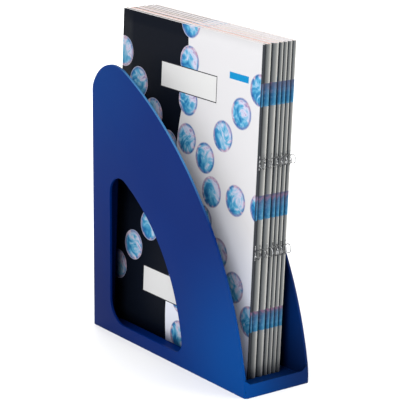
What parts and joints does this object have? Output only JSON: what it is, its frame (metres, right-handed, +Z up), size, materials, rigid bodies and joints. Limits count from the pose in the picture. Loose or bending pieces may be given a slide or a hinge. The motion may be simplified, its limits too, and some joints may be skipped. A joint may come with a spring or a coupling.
{
  "type": "magazine file",
  "caption": "Upright desk magazine file with swept side walls and windows, holding loop-stapled brochures that lift out.",
  "frame": {"origin": "middle of the footprint, on the table", "axes": "+Z up, -Y towards the open front, +X to the right seen from the front"},
  "size_m": [0.071, 0.24, 0.3024],
  "materials": {
    "shell_plastic": "satin moulded polystyrene, cobalt blue",
    "printed_cover": null,
    "paper": "folded text paper",
    "staple_wire": "bright galvanised stitching wire"
  },
  "bodies": {
    "root": {"shell": "shell_plastic"},
    "brochure_1": {"cover_1": "printed_cover", "sheets_1": "paper", "staples_1": "staple_wire"},
    "brochure_2": {"cover_2": "printed_cover", "sheets_2": "paper", "staples_2": "staple_wire"},
    "brochure_3": {"cover_3": "printed_cover", "sheets_3": "paper", "staples_3": "staple_wire"},
    "brochure_4": {"cover_4": "printed_cover", "sheets_4": "paper", "staples_4": "staple_wire"},
    "brochure_5": {"cover_5": "printed_cover", "sheets_5": "paper", "staples_5": "staple_wire"},
    "brochure_6": {"cover_6": "printed_cover", "sheets_6": "paper", "staples_6": "staple_wire"},
    "brochure_7": {"cover_7": "printed_cover", "sheets_7": "paper", "staples_7": "staple_wire"},
    "front_leaf_1": {"front_leaf_1": "printed_cover"}
  },
  "joints": [
    {"name": "lift_out_1", "type": "slide", "parent": "root", "child": "brochure_1", "axis": [0.0401, 0, 0.9992], "range_m": [0, 0.27]},
    {"name": "lift_out_2", "type": "slide", "parent": "root", "child": "brochure_2", "axis": [0.0401, 0, 0.9992], "range_m": [0, 0.27]},
    {"name": "lift_out_3", "type": "slide", "parent": "root", "child": "brochure_3", "axis": [0.0401, 0, 0.9992], "range_m": [0, 0.27]},
    {"name": "lift_out_4", "type": "slide", "parent": "root", "child": "brochure_4", "axis": [0.0401, 0, 0.9992], "range_m": [0, 0.27]},
    {"name": "lift_out_5", "type": "slide", "parent": "root", "child": "brochure_5", "axis": [0.0401, 0, 0.9992], "range_m": [0, 0.27]},
    {"name": "lift_out_6", "type": "slide", "parent": "root", "child": "brochure_6", "axis": [0.0401, 0, 0.9992], "range_m": [0, 0.27]},
    {"name": "lift_out_7", "type": "slide", "parent": "root", "child": "brochure_7", "axis": [0.0401, 0, 0.9992], "range_m": [0, 0.27]},
    {"name": "leaf_open", "type": "hinge", "parent": "brochure_1", "child": "front_leaf_1", "pos_m": [-0.0134, -0.0934, 0.00538], "axis": [0.0401, 0, 0.9992], "range_deg": [0, 5]}
  ]
}
